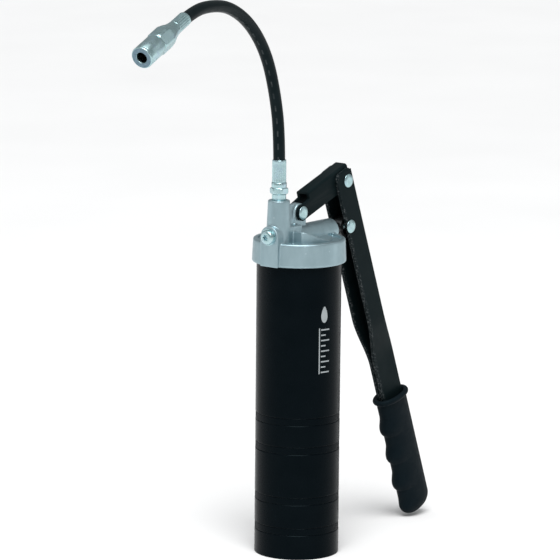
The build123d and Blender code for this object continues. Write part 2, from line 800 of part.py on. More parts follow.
hose_ferrule_upper = fluted_ferrule(coupler_plane(0), UPPER_FERRULE)
hose_ferrule_upper.part.label = "hose_ferrule_upper"
export_step(hose_ferrule_upper.part, "parts/hose_ferrule_upper.step")

# ---- Coupler ----

with BuildPart() as coupler_adapter:
    for start, end, radius in (
        (STEM_INSET, UPPER_FERRULE, STEM_R),
        (COUPLER_HEX_END, COUPLER_STEM_END, CAVITY_R),
    ):
        with BuildSketch(coupler_plane(start)):
            Circle(radius)
        extrude(amount=end - start)
    with BuildSketch(coupler_plane(UPPER_FERRULE)):
        Circle(CONE_R)
    with BuildSketch(coupler_plane(CONE_END)):
        Circle(COUPLER_R)
    loft()
    with BuildSketch(coupler_plane(CONE_END)):
        RegularPolygon(COUPLER_HEX_R, 6)
        Circle(COUPLER_ROUND_R, mode=Mode.INTERSECT)
    extrude(amount=COUPLER_HEX_END - CONE_END)
    with BuildSketch(coupler_plane(STEM_INSET)):
        Circle(PASSAGE_R)
    extrude(amount=COUPLER_STEM_END - STEM_INSET, mode=Mode.SUBTRACT)
coupler_adapter.part.label = "coupler_adapter"
export_step(coupler_adapter.part, "parts/coupler_adapter.step")

with BuildPart() as coupler_body:
    with BuildSketch(coupler_plane(COUPLER_HEX_END)):
        Circle(COUPLER_R)
    extrude(amount=COUPLER_END - COUPLER_HEX_END)
    chamfer(coupler_body.edges().sort_by(Axis(coupler_zero, coupler_axis))[-1], NOSE_CHAMFER)
    with BuildSketch(coupler_plane(COUPLER_HEX_END)):
        Circle(CAVITY_R)
    extrude(amount=COUPLER_END - NOSE_LENGTH - COUPLER_HEX_END, mode=Mode.SUBTRACT)
    with BuildSketch(coupler_plane(COUPLER_END - NOSE_LENGTH)):
        Circle(NOSE_R)
    extrude(amount=NOSE_LENGTH, mode=Mode.SUBTRACT)
coupler_body.part.label = "coupler_body"
export_step(coupler_body.part, "parts/coupler_body.step")

with BuildPart() as coupler_piston:
    with BuildSketch(coupler_plane(PISTON_START)):
        Circle(JAW_R)
        Circle(PASSAGE_R, mode=Mode.SUBTRACT)
    extrude(amount=JAW_START - PISTON_START)
coupler_piston.part.label = "coupler_piston"
export_step(coupler_piston.part, "parts/coupler_piston.step")

with BuildPart() as coupler_seal:
    with BuildSketch(coupler_plane(JAW_START)):
        Circle(JAW_BORE_R - NOSE_SEAL_GAP)
        Circle(PASSAGE_R, mode=Mode.SUBTRACT)
    extrude(amount=NOSE_SEAL_THICK)
coupler_seal.part.label = "coupler_seal"
export_step(coupler_seal.part, "parts/coupler_seal.step")

with BuildPart() as coupler_jaws:
    with BuildSketch(coupler_plane(JAW_START)):
        Circle(JAW_R)
        Circle(JAW_BORE_R, mode=Mode.SUBTRACT)
        with PolarLocations(0, JAWS):
            Rectangle(2 * JAW_R, JAW_SLOT, align=(Align.MIN, Align.CENTER), mode=Mode.SUBTRACT)
    extrude(amount=JAW_END - JAW_START)
coupler_jaws.part.label = "coupler_jaws"
export_step(coupler_jaws.part, "parts/coupler_jaws.step")

coupler_spring = coil(
    coupler_plane(COUPLER_STEM_END), PISTON_START - COUPLER_STEM_END, *COUPLER_SPRING
)
coupler_spring.part.label = "coupler_spring"
export_step(coupler_spring.part, "parts/coupler_spring.step")
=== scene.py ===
import json
import math

import bmesh
import bpy
from mathutils import Matrix, Vector

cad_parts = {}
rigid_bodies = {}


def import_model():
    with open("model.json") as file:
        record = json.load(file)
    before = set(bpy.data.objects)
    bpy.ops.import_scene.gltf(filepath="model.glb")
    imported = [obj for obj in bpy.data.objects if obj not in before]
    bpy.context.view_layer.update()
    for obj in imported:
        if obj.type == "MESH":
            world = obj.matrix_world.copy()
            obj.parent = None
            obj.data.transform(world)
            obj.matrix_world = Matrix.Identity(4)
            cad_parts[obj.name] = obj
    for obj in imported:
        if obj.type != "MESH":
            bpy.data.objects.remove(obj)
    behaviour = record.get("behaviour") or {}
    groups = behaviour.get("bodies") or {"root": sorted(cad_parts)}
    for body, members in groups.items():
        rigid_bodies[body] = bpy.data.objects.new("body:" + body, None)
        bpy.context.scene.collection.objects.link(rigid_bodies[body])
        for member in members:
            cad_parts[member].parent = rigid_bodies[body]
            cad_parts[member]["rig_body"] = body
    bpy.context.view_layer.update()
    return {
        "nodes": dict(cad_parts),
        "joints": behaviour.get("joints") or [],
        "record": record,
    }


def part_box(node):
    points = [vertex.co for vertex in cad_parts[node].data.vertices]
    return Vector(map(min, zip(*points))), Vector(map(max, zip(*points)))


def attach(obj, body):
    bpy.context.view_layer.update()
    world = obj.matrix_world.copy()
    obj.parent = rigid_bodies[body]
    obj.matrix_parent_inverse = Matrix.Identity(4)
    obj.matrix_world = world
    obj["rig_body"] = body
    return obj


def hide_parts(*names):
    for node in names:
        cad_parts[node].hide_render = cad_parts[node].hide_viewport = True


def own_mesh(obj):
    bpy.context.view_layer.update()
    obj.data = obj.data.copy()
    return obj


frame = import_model()

MM = 0.001
NODES = frame["nodes"]
JOINTS = {joint["name"]: joint for joint in frame["joints"]}

# ---- Places and sizes taken from the frame, in millimetres ----


def box_mm(node):
    """A CAD node's lowest and highest corners in millimetres."""
    low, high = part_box(node)
    return Vector(low) / MM, Vector(high) / MM


def joint_mm(name):
    """A hinge's point in millimetres."""
    return Vector(JOINTS[name]["pos_m"]) / MM


barrel_high = box_mm("grease_barrel")[1]
BARREL_R = barrel_high.x
BARREL_TOP = barrel_high.z
PIVOT_A = joint_mm("link_tilt")
PIVOT_B = joint_mm("lever_swing")
adapter_low, adapter_high = box_mm("outlet_adapter")
POST_X = (adapter_low.x + adapter_high.x) / 2
lower_low, lower_high = box_mm("hose_ferrule_lower")
FERRULE_BOTTOM = lower_low.z
FERRULE_TOP = lower_high.z
FERRULE_R = (lower_high.y - lower_low.y) / 2
plunger_pin_low, plunger_pin_high = box_mm("plunger_pin")
PIVOT_C = (plunger_pin_low + plunger_pin_high) / 2
RIVET_R = (plunger_pin_high.x - plunger_pin_low.x) / 2

# ---- Hose route: (reach from the post's axis, height), in metres, as in the CAD source ----

HOSE_R = 4.0
HOSE_TURN = math.radians(8.5)
HOSE_ROUTE = [
    (0.0, 0.2573),
    (0.0, 0.2858),
    (0.0060, 0.3138),
    (0.0180, 0.3422),
    (0.0395, 0.3644),
    (0.0656, 0.3774),
    (0.0890, 0.3807),
    (0.1125, 0.3792),
    (0.1340, 0.3710),
]
HOSE_INSERT = 12.0


def hose_point(reach, height):
    """A point in the hose's vertical plane, in metres."""
    return Vector((
        POST_X * MM - reach * math.cos(HOSE_TURN),
        -reach * math.sin(HOSE_TURN),
        height,
    ))


hose_points = [hose_point(*point) for point in HOSE_ROUTE]
COUPLER_AXIS = (hose_points[-1] - hose_points[-2]).normalized()
COUPLER_ZERO = hose_points[-1] / MM - COUPLER_AXIS * HOSE_INSERT

# ---- Camera ----

CAMERA_AZIMUTH = math.radians(-52.0)
CAMERA_ELEVATION = math.radians(10.2)
CAMERA_DISTANCE = 2600.0
CAMERA_ROLL = math.radians(0.53)
CAMERA_TARGET = Vector((-7.8, 10.0, 186.1))
CAMERA_LENS = 249.2


def make_camera():
    """The camera, a long lens slightly above the object's middle."""
    back = Vector((
        math.sin(CAMERA_AZIMUTH) * math.cos(CAMERA_ELEVATION),
        -math.cos(CAMERA_AZIMUTH) * math.cos(CAMERA_ELEVATION),
        math.sin(CAMERA_ELEVATION),
    ))
    data = bpy.data.cameras.new("camera")
    data.lens = CAMERA_LENS
    data.sensor_width = 36.0
    data.clip_end = 100.0
    camera = bpy.data.objects.new("camera", data)
    bpy.context.scene.collection.objects.link(camera)
    camera.location = (CAMERA_TARGET + back * CAMERA_DISTANCE) * MM
    aim = back.to_track_quat("Z", "Y").to_matrix().to_4x4()
    camera.matrix_world = (
        Matrix.Translation(camera.location) @ aim @ Matrix.Rotation(CAMERA_ROLL, 4, "Z")
    )
    bpy.context.scene.camera = camera


make_camera()

# ---- Mesh helpers, in millimetres ----


def axis_matrix(origin, direction, side):
    """A frame whose local Z runs along direction and whose local X is nearest to side."""
    z = Vector(direction).normalized()
    x = (Vector(side) - Vector(side).dot(z) * z).normalized()
    y = z.cross(x)
    matrix = Matrix((x, y, z)).transposed().to_4x4()
    return Matrix.Translation(Vector(origin)) @ matrix


POST = axis_matrix((POST_X, 0, 0), (0, 0, 1), (1, 0, 0))
COUPLER = axis_matrix(COUPLER_ZERO, COUPLER_AXIS, (0, 0, 1))
BARREL = Matrix.Identity(4)


def add_piece(name, points, faces, material, body, replaces=(), matrix=BARREL, flat=False):
    """Makes one closed mesh from points in millimetres and hangs it on its body."""
    mesh = bpy.data.meshes.new(name)
    mesh.from_pydata([(matrix @ Vector(point)) * MM for point in points], [], faces)
    clean = bmesh.new()
    clean.from_mesh(mesh)
    bmesh.ops.recalc_face_normals(clean, faces=clean.faces)
    clean.to_mesh(mesh)
    clean.free()
    piece = bpy.data.objects.new(name, mesh)
    bpy.context.scene.collection.objects.link(piece)
    if not flat:
        mesh.shade_smooth()
    dress(piece, material, body, replaces)
    return piece


def dress(piece, material, body, replaces=()):
    """Gives a piece its material and body, and hides the CAD nodes that it stands for."""
    piece.data.materials.clear()
    piece.data.materials.append(material)
    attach(piece, body)
    if replaces:
        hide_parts(*replaces)


def loops_to_faces(loop_count, loop_size, wrap):
    """Quads between neighbouring loops of points; wrap joins the last loop to the first."""
    faces = []
    for row in range(loop_count if wrap else loop_count - 1):
        a, b = row * loop_size, ((row + 1) % loop_count) * loop_size
        for i in range(loop_size):
            j = (i + 1) % loop_size
            faces.append((a + i, a + j, b + j, b + i))
    return faces


def lathe(profile, segments, wrap=False, shape=None):
    """Turns (radius, height) points about Z. shape(angle, radius, height) may change a radius.
    With wrap the profile is a closed loop; otherwise its two ends are closed with caps."""
    points = []
    for radius, height in profile:
        for i in range(segments):
            angle = 2 * math.pi * i / segments
            r = shape(angle, radius, height) if shape else radius
            points.append((r * math.cos(angle), r * math.sin(angle), height))
    faces = loops_to_faces(len(profile), segments, wrap)
    if not wrap:
        last = (len(profile) - 1) * segments
        faces.append(tuple(range(segments)))
        faces.append(tuple(last + i for i in range(segments)))
    return points, faces


def arc(centre, radius, start, end, steps):
    """Points on an arc in a profile, with angles in degrees."""
    found = []
    for i in range(steps + 1):
        angle = math.radians(start + (end - start) * i / steps)
        found.append((
            centre[0] + radius * math.cos(angle),
            centre[1] + radius * math.sin(angle),
        ))
    return found


def smooth_step(value):
    """0 to 1 with level ends."""
    value = min(1.0, max(0.0, value))
    return value * value * (3 - 2 * value)


def modifier(piece, kind, **settings):
    """Adds a modifier with its settings."""
    made = piece.modifiers.new(kind.lower(), kind)
    for key, value in settings.items():
        setattr(made, key, value)
    return made


def refined(node, material, bevel, segments=3, angle=28):
    """A copy of a CAD node with its edges eased, standing for that node."""
    source = NODES[node]
    mesh = bpy.data.meshes.new(node + "_fine")
    work = bmesh.new()
    work.from_mesh(source.data)
    bmesh.ops.remove_doubles(work, verts=work.verts, dist=0.002 * MM)
    bmesh.ops.dissolve_limit(
        work,
        angle_limit=math.radians(0.5),
        verts=work.verts,
        edges=work.edges,
    )
    work.to_mesh(mesh)
    work.free()
    mesh.shade_smooth()
    piece = bpy.data.objects.new(node + "_fine", mesh)
    bpy.context.scene.collection.objects.link(piece)
    modifier(
        piece,
        "BEVEL",
        width=bevel * MM,
        segments=segments,
        limit_method="ANGLE",
        angle_limit=math.radians(angle),
        harden_normals=True,
        use_clamp_overlap=True,
    )
    dress(piece, material, source["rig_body"], [node])
    return piece


def slot_of(node):
    """The record's material slot of a CAD node."""
    for row in frame["record"]["subparts"]:
        if row["node"] == node:
            return row["material_slot"]
    return None


# ---- Materials ----

MIX_COLOUR_A = 6
MIX_COLOUR_B = 7
MIX_COLOUR_OUT = 2


class Finish:
    """One procedural material built round a Principled shader, in the frame's metres."""

    def __init__(self, name, metallic=0.0, specular=0.5, tint=(1.0, 1.0, 1.0)):
        self.material = bpy.data.materials.new(name)
        self.material.use_nodes = True
        self.tree = self.material.node_tree
        self.shader = self.tree.nodes["Principled BSDF"]
        self.shader.inputs["Metallic"].default_value = metallic
        self.shader.inputs["Specular IOR Level"].default_value = specular
        self.shader.inputs["Specular Tint"].default_value = (*tint, 1)
        self.place = self.node("ShaderNodeTexCoord").outputs["Object"]
        self.normal = None

    def node(self, kind, **inputs):
        """A node with some of its inputs set or linked."""
        made = self.tree.nodes.new(kind)
        for key, value in inputs.items():
            self.feed(made.inputs[key.replace("_", " ")], value)
        return made

    def feed(self, socket, value):
        """Links an output to a socket, or sets the socket's own value."""
        if isinstance(value, bpy.types.NodeSocket):
            self.tree.links.new(value, socket)
        else:
            socket.default_value = value

    def noise(self, size, detail=3.0, rough=0.5, stretch=(1, 1, 1)):
        """Noise whose features are about size millimetres across."""
        mapping = self.node("ShaderNodeMapping", Vector=self.place)
        mapping.inputs["Scale"].default_value = stretch
        made = self.node(
            "ShaderNodeTexNoise",
            Vector=mapping.outputs["Vector"],
            Scale=1 / (size * MM),
            Detail=detail,
            Roughness=rough,
        )
        return made.outputs["Fac"]

    def cells(self, size):
        """Voronoi distance with cells about size millimetres across."""
        made = self.node("ShaderNodeTexVoronoi", Vector=self.place, Scale=1 / (size * MM))
        return made.outputs["Distance"]

    def ramp(self, factor, stops):
        """A colour ramp: stops are (place, (r, g, b)) pairs."""
        made = self.node("ShaderNodeValToRGB", Fac=factor)
        elements = made.color_ramp.elements
        for element, (place, colour) in zip(elements, (stops[0], stops[-1])):
            element.position = place
            element.color = (*colour, 1)
        for place, colour in stops[1:-1]:
            element = elements.new(place)
            element.color = (*colour, 1)
        return made.outputs["Color"]

    def span(self, factor, low, high, start=0.3, end=0.7):
        """Maps a factor onto a range of values."""
        made = self.node("ShaderNodeMapRange", Value=factor)
        made.inputs["From Min"].default_value = start
        made.inputs["From Max"].default_value = end
        made.inputs["To Min"].default_value = low
        made.inputs["To Max"].default_value = high
        return made.outputs["Result"]

    def mix(self, factor, first, second):
        """Mixes two colours."""
        made = self.tree.nodes.new("ShaderNodeMix")
        made.data_type = "RGBA"
        self.feed(made.inputs["Factor"], factor)
        self.feed(made.inputs[MIX_COLOUR_A], first)
        self.feed(made.inputs[MIX_COLOUR_B], second)
        return made.outputs[MIX_COLOUR_OUT]

    def times(self, first, second):
        """The product of two values."""
        made = self.tree.nodes.new("ShaderNodeMath")
        made.operation = "MULTIPLY"
        self.feed(made.inputs[0], first)
        self.feed(made.inputs[1], second)
        return made.outputs[0]

    def bump(self, height, depth, strength=1.0):
        """Adds a bump of a real depth in millimetres."""
        made = self.node("ShaderNodeBump", Height=height)
        made.inputs["Strength"].default_value = strength
        made.inputs["Distance"].default_value = depth * MM
        if self.normal is not None:
            self.feed(made.inputs["Normal"], self.normal)
        self.normal = made.outputs["Normal"]

    def edges(self, low=0.52, high=0.6):
        """Where the surface is convex, from 0 to 1."""
        geometry = self.node("ShaderNodeNewGeometry")
        return self.span(geometry.outputs["Pointiness"], 0.0, 1.0, low, high)

    def done(self, colour, roughness):
        """Links the colour, roughness and bumps, and returns the material."""
        self.feed(self.shader.inputs["Base Color"], colour)
        self.feed(self.shader.inputs["Roughness"], roughness)
        if self.normal is not None:
            self.feed(self.shader.inputs["Normal"], self.normal)
        return self.material


COOL = (0.6, 0.9, 1.0)


def cast_aluminium():
    """Satin die casting: fine grain, soft flow marks, and convex edges lightened as a painted
    highlight with a little wear.
    """
    f = Finish("cast_aluminium", metallic=0.85)
    grain = f.noise(1.2, 3.0, 0.6)
    flow = f.noise(9.0, 3.0, 0.55, (1, 1, 0.35))
    base = f.ramp(flow, [(0.3, (0.28, 0.385, 0.42)), (0.7, (0.34, 0.455, 0.495))])
    # Painted highlight: convex edges, found by pointiness, are mixed toward a pale colour; this
    # stands for edge highlights, with a little wear.
    colour = f.mix(f.times(f.edges(), 0.35), base, (0.56, 0.70, 0.73, 1))
    f.bump(grain, 0.02, 0.3)
    f.bump(flow, 0.12, 0.2)
    return f.done(colour, f.span(f.noise(3.0), 0.36, 0.5))


def zinc_plate():
    """Bright zinc: bluish silver with faint clouding and a slightly uneven surface."""
    f = Finish("zinc_plate", metallic=1.0)
    cloud = f.noise(5.0, 4.0, 0.6)
    base = f.ramp(cloud, [
        (0.3, (0.36, 0.53, 0.55)),
        (0.5, (0.43, 0.60, 0.62)),
        (0.7, (0.39, 0.53, 0.61)),
    ])
    f.bump(f.noise(2.5, 2.0, 0.5), 0.02, 0.25)
    return f.done(base, f.span(f.noise(3.0), 0.24, 0.36))


def enamel(name, dark, light, texture, rough_low, rough_high, wear):
    """Black paint: a faint texture, cloudy sheen, and metal showing a little at worn edges."""
    f = Finish(name, specular=0.05, tint=COOL)
    cloud = f.noise(14.0, 3.0, 0.5)
    base = f.ramp(cloud, [(0.3, dark), (0.7, light)])
    chips = f.times(f.edges(0.55, 0.66), f.span(f.noise(1.2, 5.0, 0.7), 0.0, 1.0, 0.52, 0.62))
    colour = f.mix(f.times(chips, wear), base, (0.16, 0.17, 0.175, 1))
    f.bump(f.noise(texture, 2.0, 0.5), 0.006, 0.3)
    return f.done(colour, f.span(f.noise(6.0), rough_low, rough_high))


def nose_face_zinc():
    """The coupler's nose face: darker and rougher zinc than the plate round it."""
    f = Finish("nose_face_zinc", metallic=1.0)
    base = f.ramp(f.noise(1.5, 3.0), [
        (0.3, (0.13, 0.20, 0.25)),
        (0.7, (0.19, 0.27, 0.32)),
    ])
    f.bump(f.noise(0.9, 2.0), 0.01, 0.3)
    return f.done(base, f.span(f.noise(1.0), 0.4, 0.5))


def steel(name, dark, light, rough_low, rough_high):
    """Bare or oiled steel with a drawn grain."""
    f = Finish(name, metallic=1.0)
    base = f.ramp(f.noise(2.0), [(0.3, dark), (0.7, light)])
    f.bump(f.noise(0.3, 3.0), 0.008, 0.4)
    return f.done(base, f.span(f.noise(1.0), rough_low, rough_high))


def soft_black(name, dark, light, grain, depth, rough_low, rough_high):
    """Rubber or vinyl: a fine grained, dull black with slight bloom."""
    f = Finish(name, specular=0.06, tint=COOL)
    base = f.ramp(f.noise(7.0, 4.0, 0.6), [(0.3, dark), (0.7, light)])
    f.bump(f.cells(grain), depth, 0.5)
    f.bump(f.noise(grain * 0.4, 3.0), depth * 0.5, 0.4)
    return f.done(base, f.span(f.noise(3.0), rough_low, rough_high))


LAYLINE_AT = 0.33
LAYLINE_INNER = 0.018
LAYLINE_OUTER = 0.022
LAYLINE_WAVE = 0.035


def marked_rubber():
    """The hose's rubber with a faint dashed layline, placed by the hose's own map."""
    f = Finish("hose_layline", specular=0.08, tint=COOL)
    rubber = f.ramp(f.noise(7.0, 4.0, 0.6), [
        (0.3, (0.004, 0.007, 0.008)),
        (0.7, (0.006, 0.010, 0.011)),
    ])
    chart = f.node("ShaderNodeUVMap")
    chart.uv_map = "hose_map"
    parts = f.node("ShaderNodeSeparateXYZ", Vector=chart.outputs["UV"])
    dash = f.node("ShaderNodeTexWave", Vector=chart.outputs["UV"], Scale=LAYLINE_WAVE)
    dash.bands_direction = "X"
    dashes = f.span(dash.outputs["Fac"], 0.0, 1.0, 0.55, 0.6)
    side = parts.outputs["Y"]
    above = f.span(side, 0.0, 1.0, LAYLINE_AT - LAYLINE_OUTER, LAYLINE_AT - LAYLINE_INNER)
    below = f.span(side, 1.0, 0.0, LAYLINE_AT + LAYLINE_INNER, LAYLINE_AT + LAYLINE_OUTER)
    worn = f.span(f.noise(2.0, 4.0, 0.7), 0.1, 0.35, 0.35, 0.65)
    ink = f.times(f.times(dashes, f.times(above, below)), worn)
    colour = f.mix(ink, rubber, (0.12, 0.13, 0.135, 1))
    f.bump(f.cells(1.0), 0.01, 0.5)
    f.bump(f.noise(0.8, 2.0), 0.006, 0.4)
    return f.done(colour, f.span(f.noise(3.0), 0.3, 0.4))


ALUMINIUM = cast_aluminium()
ZINC = zinc_plate()
NOSE_FACE_ZINC = nose_face_zinc()
BARREL_PAINT = enamel(
    "barrel_enamel",
    dark=(0.0008, 0.0018, 0.0028),
    light=(0.0014, 0.0026, 0.0038),
    texture=1.5,
    rough_low=0.24,
    rough_high=0.3,
    wear=0.5,
)
LEVER_PAINT = enamel(
    "lever_coat",
    dark=(0.0035, 0.0075, 0.0085),
    light=(0.005, 0.0095, 0.0105),
    texture=1.2,
    rough_low=0.4,
    rough_high=0.5,
    wear=0.6,
)
GRIP_VINYL = soft_black(
    "grip_vinyl",
    dark=(0.003, 0.006, 0.0085),
    light=(0.0045, 0.008, 0.0105),
    grain=1.0,
    depth=0.04,
    rough_low=0.5,
    rough_high=0.62,
)
HOSE_RUBBER = soft_black(
    "hose_rubber",
    dark=(0.006, 0.010, 0.0115),
    light=(0.009, 0.0145, 0.016),
    grain=1.0,
    depth=0.01,
    rough_low=0.3,
    rough_high=0.4,
)
LAYLINE_RUBBER = marked_rubber()
RUBBER = soft_black(
    "seal_rubber",
    dark=(0.014, 0.014, 0.014),
    light=(0.022, 0.022, 0.022),
    grain=0.3,
    depth=0.02,
    rough_low=0.6,
    rough_high=0.75,
)
PRINT_INK = enamel(
    "print_ink",
    dark=(0.30, 0.33, 0.34),
    light=(0.36, 0.39, 0.40),
    texture=0.5,
    rough_low=0.5,
    rough_high=0.6,
    wear=0.0,
)
DARK_STEEL = steel(
    "dark_steel",
    dark=(0.07, 0.075, 0.08),
    light=(0.12, 0.125, 0.13),
    rough_low=0.3,
    rough_high=0.42,
)
SPRING_STEEL = steel(
    "spring_steel",
    dark=(0.28, 0.28, 0.29),
    light=(0.40, 0.40, 0.41),
    rough_low=0.28,
    rough_high=0.4,
)

SLOT_MATERIALS = {
    "barrel_paint": BARREL_PAINT,
    "lever_paint": LEVER_PAINT,
    "cast_aluminium": ALUMINIUM,
    "zinc_steel": ZINC,
    "dark_steel": DARK_STEEL,
    "spring_steel": SPRING_STEEL,
    "rubber": RUBBER,
    "hose_rubber": HOSE_RUBBER,
    "grip_vinyl": GRIP_VINYL,
}

for node_name, node_object in NODES.items():
    node_object.data.materials.clear()
    node_object.data.materials.append(SLOT_MATERIALS[slot_of(node_name)])

# ---- Barrel: tube, knurled bands and print ----

BARREL_BORE_R = 27.0
BAND_FLOOR_R = 28.15
BAND_HEIGHTS = (19.0, 40.0, 74.6, 94.4)
BAND_HALF = 2.65
KNURL_TOP_R = 28.42
KNURL_COUNT = 140
FOOT_ROUND = 0.6
ROW_START = 98.5
ROW_PITCH = 8.0
ROW_COUNT = 14


def make_barrel():
    """The tube, with a rounded foot and four shallow grooves whose edges are eased. Its plain
    wall has rows of its own, so that edge wear stays at the edges."""
    profile = [(BARREL_BORE_R, 0.0)]
    profile += arc((BARREL_R - FOOT_ROUND, FOOT_ROUND), FOOT_ROUND, -90, 0, 5)
    profile += [(BARREL_R, 1.2), (BARREL_R, 8.0)]
    for height in BAND_HEIGHTS:
        low, high = height - BAND_HALF, height + BAND_HALF
        profile += [(BARREL_R, low - 0.5), (BARREL_R, low - 0.25)]
        profile += [(BARREL_R - 0.06, low - 0.08), (BAND_FLOOR_R + 0.06, low + 0.08)]
        profile += [(BAND_FLOOR_R, low + 0.25), (BAND_FLOOR_R, high - 0.25)]
        profile += [(BAND_FLOOR_R + 0.06, high - 0.08), (BARREL_R - 0.06, high + 0.08)]
        profile += [(BARREL_R, high + 0.25), (BARREL_R, high + 0.5)]
    profile += [(BARREL_R, ROW_START + ROW_PITCH * i) for i in range(ROW_COUNT)]
    profile += [(BARREL_R, BARREL_TOP - 1.0), (BARREL_R, BARREL_TOP)]
    profile += [(BARREL_BORE_R, BARREL_TOP)]
    points, faces = lathe(profile, 192, wrap=True)
    add_piece("barrel", points, faces, BARREL_PAINT, "body", ["grease_barrel"])


def knurl(angle, height):
    """Height of a diamond knurl from 0 to 1: small pyramids in crossed rows."""
    around = KNURL_COUNT * angle / (2 * math.pi)
    up = height * KNURL_COUNT / (2 * math.pi * BARREL_R)
    first = abs((around + up) % 1.0 - 0.5)
    second = abs((around - up) % 1.0 - 0.5)
    return 1 - 2 * max(first, second)


def make_band(number, height):
    """One rolled band of diamond knurl, standing in its groove."""
    pitch = 2 * math.pi * BARREL_R / KNURL_COUNT
    rows = int(2 * (BAND_HALF - 0.25) / pitch * 4)
    segments = KNURL_COUNT * 4
    profile = [(BAND_FLOOR_R - 0.3, -BAND_HALF + 0.2)]
    for row in range(rows + 1):
        profile.append((BAND_FLOOR_R + 0.02, (row - rows / 2) * pitch / 4))
    profile.append((BAND_FLOOR_R - 0.3, BAND_HALF - 0.2))

    def raised(angle, radius, level):
        if radius < BAND_FLOOR_R:
            return radius
        edge = smooth_step((BAND_HALF - 0.3 - abs(level)) / 0.4)
        return radius + (KNURL_TOP_R - BAND_FLOOR_R) * knurl(angle, level) * edge

    points, faces = lathe(profile, segments, wrap=True, shape=raised)
    place = Matrix.Translation((0, 0, height))
    name = f"knurl_band_{number}"
    add_piece(name, points, faces, BARREL_PAINT, "body", matrix=place)


make_barrel()
for band_number, band_height in enumerate(BAND_HEIGHTS, 1):
    make_band(band_number, band_height)

PRINT_TURN = math.radians(-105)
PRINT_LOW_R = BARREL_R - 0.03
PRINT_HIGH_R = BARREL_R + 0.04
DROP_FOOT = 161.5
DROP_HEIGHT = 11.0
DROP_HALF = 3.4
DROP_TIP_HALF = 0.05
DROP_STEPS = 24
SCALE_LOW = 127.0
SCALE_HIGH = 158.0
SCALE_SIDES = (-4.2, -3.4)
TICK_COUNT = 9
FIRST_TICK = 128.0
TICK_PITCH = 3.6
TICK_HALF = 0.45
TICK_LEFT = -2.6
TICK_REACH = (4.4, 1.2)


def print_patch(rows, columns=8):
    """A thin printed patch on the barrel. Rows are (height, left, right), bottom to top."""
    points = []
    for radius in (PRINT_LOW_R, PRINT_HIGH_R):
        for height, left, right in rows:
            for i in range(columns + 1):
                across = left + (right - left) * i / columns
                angle = PRINT_TURN + across / BARREL_R
                points.append((radius * math.cos(angle), radius * math.sin(angle), height))
    wide = columns + 1
    layer = wide * len(rows)
    faces = []
    for row in range(len(rows) - 1):
        for i in range(columns):
            a = row * wide + i
            quad = (a, a + 1, a + wide + 1, a + wide)
            faces.append(quad)
            faces.append(tuple(layer + k for k in quad))
    border = list(range(wide))
    border += [row * wide + columns for row in range(1, len(rows))]
    border += [(len(rows) - 1) * wide + i for i in range(columns - 1, -1, -1)]
    border += [row * wide for row in range(len(rows) - 2, 0, -1)]
    for a, b in zip(border, border[1:] + border[:1]):
        faces.append((a, b, b + layer, a + layer))
    return points, faces


def make_print():
    """A plain printed mark: a drop over a level scale."""
    drop = []
    for i in range(DROP_STEPS + 1):
        t = i / DROP_STEPS
        belly = math.sqrt(max(0.0, math.sin(math.pi * min(1.0, t * 0.86 + 0.005))))
        half = max(DROP_HALF * belly * (1 - t) ** 0.42, DROP_TIP_HALF)
        drop.append((DROP_FOOT + DROP_HEIGHT * t, -half, half))
    patches = [
        print_patch(drop, 12),
        print_patch([(SCALE_LOW, *SCALE_SIDES), (SCALE_HIGH, *SCALE_SIDES)], 2),
    ]
    for tick in range(TICK_COUNT):
        height = FIRST_TICK + tick * TICK_PITCH
        sides = (TICK_LEFT, TICK_REACH[tick % 2])
        patches.append(print_patch([(height - TICK_HALF, *sides), (height + TICK_HALF, *sides)]))
    points, faces = [], []
    for more_points, more_faces in patches:
        base = len(points)
        points += more_points
        faces += [tuple(base + k for k in face) for face in more_faces]
    add_piece("barrel_print", points, faces, PRINT_INK, "body", flat=True)


make_print()

# ---- Cast head ----


def cast_copy(node, name, voxel, smoothing):
    """A copy of a CAD node with the soft edges and fillets of a casting."""
    piece = bpy.data.objects.new(name, NODES[node].data.copy())
    bpy.context.scene.collection.objects.link(piece)
    modifier(piece, "REMESH", mode="VOXEL", voxel_size=voxel * MM, adaptivity=0.0)
    modifier(piece, "SMOOTH", factor=0.5, iterations=smoothing)
    bpy.context.view_layer.update()
    graph = bpy.context.evaluated_depsgraph_get()
    mesh = bpy.data.meshes.new_from_object(piece.evaluated_get(graph))
    piece.modifiers.clear()
    piece.data = mesh
    mesh.shade_smooth()
    dress(piece, ALUMINIUM, "body", [node])
    return piece


cast_copy("pump_head", "head_casting", 0.4, 5)

# ---- Rivets ----

RIVET_SHANK_R = 2.6
RIVET_HEAD = 1.1


def make_rivet(name, node, body, place):
    """A rivet along Y with two low domed heads that are slightly dished in the middle."""
    low, high = box_mm(node)
    half = (high.y - low.y) / 2
    under = half - RIVET_HEAD
    head = [
        (RIVET_SHANK_R, under), (RIVET_R - 0.15, under), (RIVET_R, under + 0.1),
        (RIVET_R, under + 0.24), (RIVET_R - 0.14, under + 0.42), (RIVET_R - 0.5, under + 0.64),
        (RIVET_R - 1.2, under + 0.88), (RIVET_R - 2.0, under + 1.04), (RIVET_R - 2.6, half),
        (RIVET_R - 3.1, half - 0.03), (0.8, half - 0.12), (0.3, half - 0.14),
    ]
    profile = [(radius, -height) for radius, height in reversed(head)] + head
    points, faces = lathe(profile, 64)
    matrix = axis_matrix(place, (0, 1, 0), (1, 0, 0))
    add_piece(name, points, faces, ZINC, body, [node], matrix)


make_rivet("rivet_link", "link_pin", "body", PIVOT_A)
make_rivet("rivet_lever", "lever_pivot_pin", "lever", PIVOT_B)
make_rivet("rivet_plunger", "plunger_pin", "lever", PIVOT_C)

# ---- Lever: a pressed channel, pinched to a neck above the grip ----

